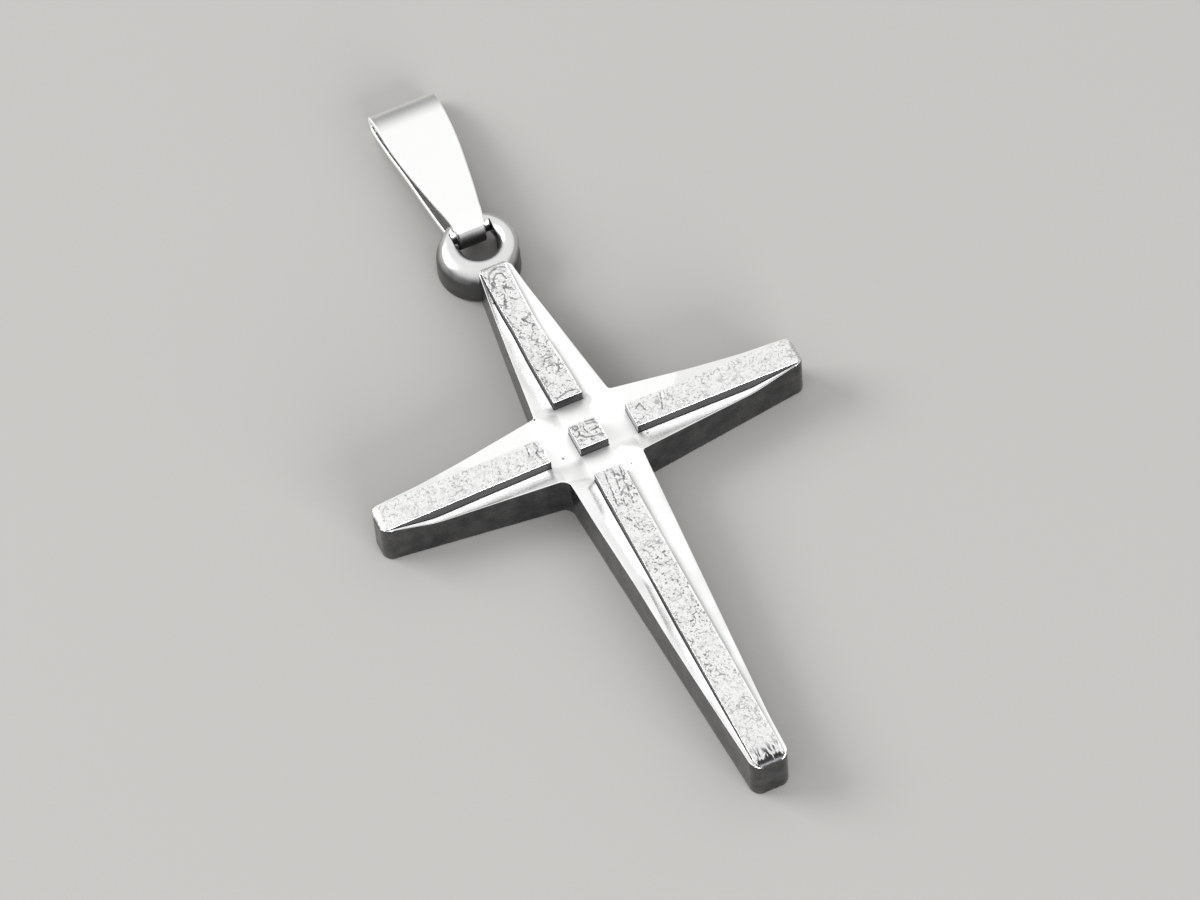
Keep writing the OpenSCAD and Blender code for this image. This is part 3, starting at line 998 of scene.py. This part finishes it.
# The gap in the wall for the strap's back leaf: its half width, its nearest distance from the ring's middle,
# and the width of its slopes.
OPEN_HALF = 1.28
OPEN_FROM = 0.3
OPEN_SLOPE = 0.05
# How much closer to the hinge the seat lies than the strap's loop, and over which width it begins.
SEAT_GAP = 0.06
SEAT_SLOPE = 0.1
EYELET_WELD = 0.00002


def rim_section(mid, wire, cz):
    """The plain rim's section, from its top outwards, down, inwards and up again: distances and heights."""
    half = SECTION_LINES // 2
    turn = np.radians(np.linspace(0, 360, SECTION_LINES + 1)[:-1])
    turn = np.concatenate([turn[:half + 1], turn[half:]])
    return mid + wire * np.sin(turn), cz + wire * np.cos(turn)


def walled_section(size, cos, sin):
    """The section with its wall: as the rim above its middle, and from there down to the flat back."""
    cz, wire, hole = size.centre[2] / MM, size.rim_wire / MM / 2, size.hole_radius / MM
    mid = hole + wire
    shift, wall_r = size.wall_shift / MM, size.wall_radius / MM
    off = -shift * (cos + sin)
    reach = off + np.sqrt(np.maximum(off * off - 2 * shift * shift + wall_r ** 2, 0))

    span = np.linspace(0, 1, SECTION_LINES // 2 + 1)
    fall = np.clip((span - RIM_SHARE) / (1 - RIM_SHARE), 0, 1)
    level = np.where(span < RIM_SHARE, cz + wire * np.cos(span / RIM_SHARE * math.pi / 2), cz * (1 - fall))
    rise = np.sqrt(np.maximum(wire ** 2 - (level - cz) ** 2, 0))
    up = np.clip((level - SHOULDER) / (cz + wire - SHOULDER), 0, 1)
    wall = mid + (reach - mid) * np.sqrt(1 - up ** 2) - rounded(level, EYELET_FOOT)
    outside = np.maximum(mid + rise, wall)

    bore = hole + BORE_GAP
    inside = np.where(level > cz - 0.3 * wire, mid - rise, bore)
    inside = np.minimum(inside, np.maximum(mid - rise, bore)) + rounded(level, BORE_FOOT)
    inside = np.repeat(inside[None, :], len(cos), 0)
    return np.concatenate([outside, inside[:, -1:0:-1]], 1), np.concatenate([level, level[-1:0:-1]])


def eyelet_mesh(size, bail):
    """A ring whose section changes round it: a round rim, and a wall below it that is open for the strap."""
    cx, cy, cz = (v / MM for v in size.centre)
    wire = size.rim_wire / MM / 2
    mid = size.hole_radius / MM + wire
    around = np.radians(np.linspace(0, 360, RING_LINES + 1)[:-1])
    cos, sin = np.cos(around)[:, None], np.sin(around)[:, None]
    rim_r, rim_z = rim_section(mid, wire, cz)
    walled_r, walled_z = walled_section(size, cos, sin)

    # The wall is open at the far side, where the strap's back leaf passes.
    x, y = walled_r * cos, walled_r * sin
    beside = smooth(np.abs(x), OPEN_HALF, OPEN_HALF + OPEN_SLOPE)
    closed = np.maximum(beside, smooth(-y, -OPEN_FROM, -OPEN_FROM + OPEN_SLOPE))
    r = closed * walled_r + (1 - closed) * rim_r
    z = closed * walled_z + (1 - closed) * rim_z

    # The strap runs in a seat that is cut into the far half of the rim, wide enough for the whole swing.
    seat = bail.loop_inside / MM - SEAT_GAP
    seat_y = HINGE.y / MM - np.sqrt(np.maximum(seat ** 2 - (z - HINGE.z / MM) ** 2, 0))
    room = np.where(cos < 0, cx - SEAT_MIDDLE + SEAT_HALF, SEAT_MIDDLE + SEAT_HALF - cx)
    edge = np.minimum(room / np.maximum(np.abs(cos), 1e-6), (seat_y - cy) / np.maximum(sin, 1e-6))
    cut = smooth(cy + edge * sin, SEAT_FROM, SEAT_FROM + SEAT_SLOPE) * (sin > 0)
    within = (r < edge) & ((z > cz) | (closed < 0.5))
    crest = np.sqrt(np.maximum(wire ** 2 - np.maximum(edge - mid, 0) ** 2, 0))
    z = z - np.sign(z - cz) * np.maximum(np.abs(z - cz) - crest, 0) * cut * within
    r = r + np.maximum(edge - r, 0) * cut
    points = np.stack([cx + r * cos, cy + r * sin, z], -1)

    rows, cols = points.shape[:2]
    wrapped = np.concatenate([points, points[:1]], 0)
    wrapped = np.concatenate([wrapped, wrapped[:, :1]], 1)
    return weld(wrapped.reshape(-1, 3), grid_faces(rows + 1, cols + 1, 0).tolist(), {}, EYELET_WELD)


class PENDANT_OT_eyelet(bpy.types.Operator):
    """Make the eyelet that is soldered to the upper arm"""

    bl_idname = "pendant.eyelet"
    bl_label = "Eyelet"

    def execute(self, context):
        scene = context.scene
        obj = show("eyelet", eyelet_mesh(scene.pendant_eyelet, scene.pendant_bail))
        obj.data.materials.append(eyelet_silver(scene.pendant_finish))
        finish_piece(obj, "cross", "cross", 45)
        return {"FINISHED"}


# The strap bail

# Half the strap's width along it, as measured: the place between the hole's end and the fold's outside, as a
# share of the length, and the share of the widest half.
STRAP_OUTLINE = (
    (0.0, 0.39), (0.035, 0.425), (0.065, 0.455), (0.1, 0.49), (0.15, 0.535), (0.22, 0.607), (0.3, 0.68),
    (0.4, 0.765), (0.5, 0.845), (0.6, 0.912), (0.7, 0.958), (0.8, 0.985), (0.9, 1.0), (1.0, 1.0),
)
# The band along the strap's edges that keeps its shape where the strap narrows, and where in it the sheared
# edge begins and is full, in mm.
EDGE_BAND = 0.3
SHEARED = (0.22, 0.28)
# Distance between the points on the straight parts of its path, in mm.
PATH_STEP = 0.12


def unit(v):
    """A 2D direction of length 1."""
    return np.asarray(v, float) / np.linalg.norm(v)


def arc(centre, r, start, end, step_deg):
    """Points on a circle from one direction to the other, clockwise in (y, z)."""
    a = math.atan2(start[1], start[0])
    b = math.atan2(end[1], end[0])
    while b > a:
        b -= 2 * math.pi
    n = max(2, int(abs(a - b) / math.radians(step_deg)))
    return [centre + r * np.array([math.cos(a + (b - a) * k / n), math.sin(a + (b - a) * k / n)])
            for k in range(n + 1)]


def straight(a, b, step):
    """Points between two others, without them."""
    n = max(1, int(np.linalg.norm(b - a) / step))
    return [a + (b - a) * k / n for k in range(1, n)]


def tangent(a, ra, b, rb, side):
    """Direction from both circles' centres to the line that touches them from above (1) or below (-1)."""
    gap = b - a
    far = np.linalg.norm(gap)
    ahead = gap / far
    up = np.array([-ahead[1], ahead[0]])
    lean = (ra - rb) / far
    return lean * ahead + side * math.sqrt(1 - lean * lean) * up


def strap_path(size):
    """The middle of the strap's thickness in the side view, as one closed line of (y, z) points."""
    inset = size.thickness / MM / 2
    loop_c = np.array([HINGE.y, HINGE.z]) / MM
    loop_r = size.loop_inside / MM + 2 * inset
    fold_r, waist_r = size.fold_height / MM / 2, size.waist_height / MM / 2
    crest_r = size.crest_radius / MM
    length = size.length / MM

    # The fold is a tight bend, and the front leaf comes down to it in a slow one.
    fold_c = np.array([loop_c[0] + length - fold_r, fold_r])
    meet = np.array([math.sin(size.crest_tilt), math.cos(size.crest_tilt)])
    crest_c = fold_c - (crest_r - fold_r) * meet
    up = tangent(loop_c, loop_r, crest_c, crest_r, 1)
    ahead = np.array([up[1], -up[0]])
    waist_c = loop_c + (loop_r - waist_r) * up + size.waist_at * length * ahead

    low_loop = tangent(loop_c, loop_r, waist_c, waist_r, -1)
    low_fold = tangent(waist_c, waist_r, fold_c, fold_r, -1)
    low_mid = unit(low_loop + low_fold)
    hollow = size.waist_round / MM
    hollow_c = waist_c + (waist_r + hollow) / low_mid.dot(low_loop) * low_mid
    path = arc(crest_c, crest_r - inset, up, meet, 1.5)[:-1]
    path += arc(fold_c, fold_r - inset, meet, low_fold, 6)
    bend_start, bend_end = hollow_c - (hollow + inset) * low_fold, hollow_c - (hollow + inset) * low_loop
    path += straight(path[-1], bend_start, PATH_STEP)
    path += arc(hollow_c, hollow + inset, -low_loop, -low_fold, 1)[::-1]
    loop = arc(loop_c, loop_r - inset, low_loop, up, 5)
    path += straight(bend_end, loop[0], PATH_STEP) + loop
    path += straight(path[-1], path[0], PATH_STEP)
    return path


def line_object(name, points):
    """A curve object of one closed line of straight pieces through points in millimetres."""
    curve = bpy.data.curves.new(name, "CURVE")
    curve.dimensions = "3D"
    spline = curve.splines.new("POLY")
    spline.points.add(len(points) - 1)
    for target, (x, y, z) in zip(spline.points, points):
        target.co = (x * MM, y * MM, z * MM, 1.0)
    spline.use_cyclic_u = True
    return show(name, curve)


def strap_section(size):
    """The strap's cross-section as it is when flat: a thin rectangle with polished round edges."""
    w, t, r = size.width / MM / 2, size.thickness / MM / 2, size.edge_radius / MM
    side = [0, 0.4, 0.8, 1.2, w - 0.24, w - 0.12, w - r - 0.02]
    corner = [(w - r + r * math.sin(math.radians(a)), t - r + r * math.cos(math.radians(a)))
              for a in range(0, 91, 15)]
    quarter = [(x, t) for x in side] + corner
    below = [(x, -y) for x, y in quarter[::-1]]
    right = quarter + below
    left = [(-x, y) for x, y in right[::-1] if x > 0]
    return [(x, y, 0) for x, y in right + left]


def outline_curve(tree, share):
    """The strap's half width as a share of its widest, at a share of its length."""
    node = add(tree, "ShaderNodeFloatCurve", {"Value": share})
    points = node.mapping.curves[0].points
    for at, value in STRAP_OUTLINE[1:-1]:
        points.new(at, value)
    points[0].location = STRAP_OUTLINE[0]
    points[len(points) - 1].location = STRAP_OUTLINE[-1]
    node.mapping.update()
    return node.outputs["Value"]


def strap_tree():
    """Geometry Nodes that sweep the strap's section along its path, and narrow it towards the eyelet."""
    tree = new_tree("folded_strap", {
        "Object": ("Section",), "Float": ("Half Width", "Edge", "Near", "Far", "Lean"),
        "Vector": ("Hinge",), "Material": ("Material",),
    })
    got = add(tree, "NodeGroupInput").outputs
    section = add(tree, "GeometryNodeObjectInfo", {"Object": got["Section"]}).outputs["Geometry"]
    swept = add(tree, "GeometryNodeCurveToMesh", {"Curve": got["Geometry"], "Profile Curve": section})

    # How wide the strap is at each place along it.
    parts = split(tree, add(tree, "GeometryNodeInputPosition").outputs["Position"])
    share = remap(tree, parts["Y"], got["Near"], got["Far"], kind="LINEAR")
    half = math_node(tree, "MULTIPLY", outline_curve(tree, share), got["Half Width"])

    # The middle of the section is squeezed, and its round edges keep their shape.
    size_x = math_node(tree, "ABSOLUTE", parts["X"])
    flat = math_node(tree, "SUBTRACT", got["Half Width"], got["Edge"])
    narrowed = math_node(tree, "SUBTRACT", half, got["Edge"])
    squeezed = remap(tree, size_x, 0.0, flat, 0.0, narrowed, "LINEAR")
    beyond = math_node(tree, "MAXIMUM", math_node(tree, "SUBTRACT", size_x, flat), 0.0)
    sheared = remap(tree, beyond, SHEARED[0] * MM, SHEARED[1] * MM, kind="LINEAR")
    marked = store(tree, swept.outputs["Mesh"], "sheared", sheared)
    sign = math_node(tree, "SIGN", parts["X"])
    new_x = math_node(tree, "MULTIPLY", math_node(tree, "ADD", squeezed, beyond), sign)
    spot = add(tree, "ShaderNodeCombineXYZ", {"X": new_x, "Y": parts["Y"], "Z": parts["Z"]}).outputs[0]

    # The whole bail leans a little to one side: each place moves across by its distance from the hinge.
    hinge = split(tree, got["Hinge"])
    ahead = math_node(tree, "SUBTRACT", parts["Y"], hinge["Y"])
    sideways = math_node(tree, "MULTIPLY_ADD", ahead, math_node(tree, "TANGENT", got["Lean"]), hinge["X"])
    aside = add(tree, "ShaderNodeCombineXYZ", {"X": sideways}).outputs[0]
    moved = vector_node(tree, "ADD", spot, aside)
    placed = add(tree, "GeometryNodeSetPosition", {"Geometry": marked, "Position": moved})
    real = add(tree, "GeometryNodeRealizeInstances", {"Geometry": placed.outputs["Geometry"]})
    inputs = {"Geometry": real.outputs["Geometry"], "Material": got["Material"]}
    coated = add(tree, "GeometryNodeSetMaterial", inputs).outputs["Geometry"]
    add(tree, "NodeGroupOutput", {"Geometry": coated})
    return tree


class PENDANT_OT_bail(bpy.types.Operator):
    """Make the folded strap bail"""

    bl_idname = "pendant.bail"
    bl_label = "Bail"

    def execute(self, context):
        size = context.scene.pendant_bail
        path = line_object("strap_path", [(0, y, z) for y, z in strap_path(size)])
        section = line_object("strap_section", strap_section(size))
        values = {
            "Section": section, "Half Width": size.width / 2, "Edge": EDGE_BAND * MM,
            "Near": HINGE.y - size.loop_inside - size.thickness, "Far": HINGE.y + size.length,
            "Hinge": (HINGE.x - size.aside, HINGE.y, 0.0), "Lean": size.lean,
            "Material": strap_silver(context.scene.pendant_finish),
        }
        obj = run_tree(path, strap_tree(), values, "strap_bail")
        bpy.data.objects.remove(section)
        close_up(obj.data, WELD * MM)
        finish_piece(obj, "bail", "bail", 40)
        return {"FINISHED"}


# The stage, in metres, watts and degrees

FLOOR_RADIUS = 2.0
FLOOR_GAP = 0.005 * MM
# Each lamp's place, sides and power.
SOFT_BOXES = {
    "front_box": ((0.11, -0.7, 0.225), (0.56, 0.28), 6.6),
    "side_box": ((-0.54, 0.42, 0.41), (0.46, 0.34), 6.0),
}
TENT_STRENGTH = (0.4, 1.12)
# The camera as it was fitted to the photograph.
CAMERA_TARGET = (0.00069, 0.00048, 0)
CAMERA_TURN = {"azimuth": -20.07, "elevation": 55.96, "roll": -5.47}
CAMERA_DISTANCE = 0.28662
CAMERA_LENS = 180


def soft_box(name, place, sides, power):
    """A large lamp with two sides, that faces the pendant."""
    lamp = bpy.data.lights.new(name, "AREA")
    lamp.shape = "RECTANGLE"
    lamp.size, lamp.size_y = sides
    lamp.energy = power
    obj = show(name, lamp)
    obj.location = place
    obj.rotation_euler = (-Vector(place)).to_track_quat("-Z", "Y").to_euler()


def light_tent(low, high):
    """A world like a white tent round the pendant, dimmer near the floor."""
    world = bpy.data.worlds.new("light_tent")
    world.use_nodes = True
    tree = world.node_tree
    height = split(tree, add(tree, "ShaderNodeTexCoord").outputs["Generated"])["Z"]
    strength = remap(tree, height, 0.08, 0.62, low, high)
    fill(tree, tree.nodes["Background"], {"Color": linear("#FAFAFA"), "Strength": strength})
    return world


def place_camera(azimuth, elevation, roll):
    """A camera that looks at its target from an azimuth and elevation, with a roll, in degrees."""
    az, el = math.radians(azimuth), math.radians(elevation)
    away = Vector((math.sin(az) * math.cos(el), -math.cos(az) * math.cos(el), math.sin(el)))
    camera = show("camera", bpy.data.cameras.new("camera"))
    camera.data.lens = CAMERA_LENS
    camera.data.sensor_width = 36
    camera.data.clip_start = 0.01
    spin = Euler((0, 0, math.radians(roll))).to_quaternion()
    camera.rotation_euler = (away.to_track_quat("Z", "Y") @ spin).to_euler()
    camera.location = Vector(CAMERA_TARGET) + away * CAMERA_DISTANCE
    bpy.context.scene.camera = camera


class PENDANT_OT_stage(bpy.types.Operator):
    """Make the floor, the light and the camera"""

    bl_idname = "pendant.stage"
    bl_label = "Stage"

    def execute(self, context):
        scene = context.scene
        mesh = bpy.data.meshes.new("floor")
        lowest = min(CROSS_LOW.z, BAIL_LOW.z)
        bm = bmesh.new()
        bmesh.ops.create_circle(bm, cap_ends=True, segments=96, radius=FLOOR_RADIUS)
        bmesh.ops.translate(bm, verts=bm.verts, vec=(0, 0, lowest - FLOOR_GAP))
        bm.to_mesh(mesh)
        bm.free()
        floor = show("floor", mesh)
        mesh.materials.append(floor_paper(scene.pendant_finish))

        for name, box in SOFT_BOXES.items():
            soft_box(name, *box)
        scene.world = light_tent(*TENT_STRENGTH)
        scene.view_settings.view_transform = "Standard"
        place_camera(**CAMERA_TURN)
        return {"FINISHED"}


# The add-on


class PENDANT_PT_panel(bpy.types.Panel):
    """Lists the pieces of the pendant"""

    bl_idname = "PENDANT_PT_panel"
    bl_label = "Cross pendant"
    bl_space_type = "VIEW_3D"
    bl_region_type = "UI"
    bl_category = "Pendant"

    def draw(self, context):
        column = self.layout.column()
        for step in STEPS:
            column.operator(step.bl_idname)


STEPS = (PENDANT_OT_stage, PENDANT_OT_cross, PENDANT_OT_eyelet, PENDANT_OT_bail)
GROUPS = {
    "pendant_cross": PendantCross,
    "pendant_relief": PendantRelief,
    "pendant_eyelet": PendantEyelet,
    "pendant_bail": PendantBail,
    "pendant_finish": PendantFinish,
}


def register():
    for name, group in GROUPS.items():
        bpy.utils.register_class(group)
        setattr(bpy.types.Scene, name, PointerProperty(type=group))
    for step in STEPS:
        bpy.utils.register_class(step)
    bpy.utils.register_class(PENDANT_PT_panel)


def unregister():
    bpy.utils.unregister_class(PENDANT_PT_panel)
    for step in reversed(STEPS):
        bpy.utils.unregister_class(step)
    for name, group in reversed(GROUPS.items()):
        delattr(bpy.types.Scene, name)
        bpy.utils.unregister_class(group)


def main():
    register()
    bpy.ops.pendant.stage()
    bpy.ops.pendant.cross()
    bpy.ops.pendant.eyelet()
    bpy.ops.pendant.bail()


if __name__ == "__main__":
    main()
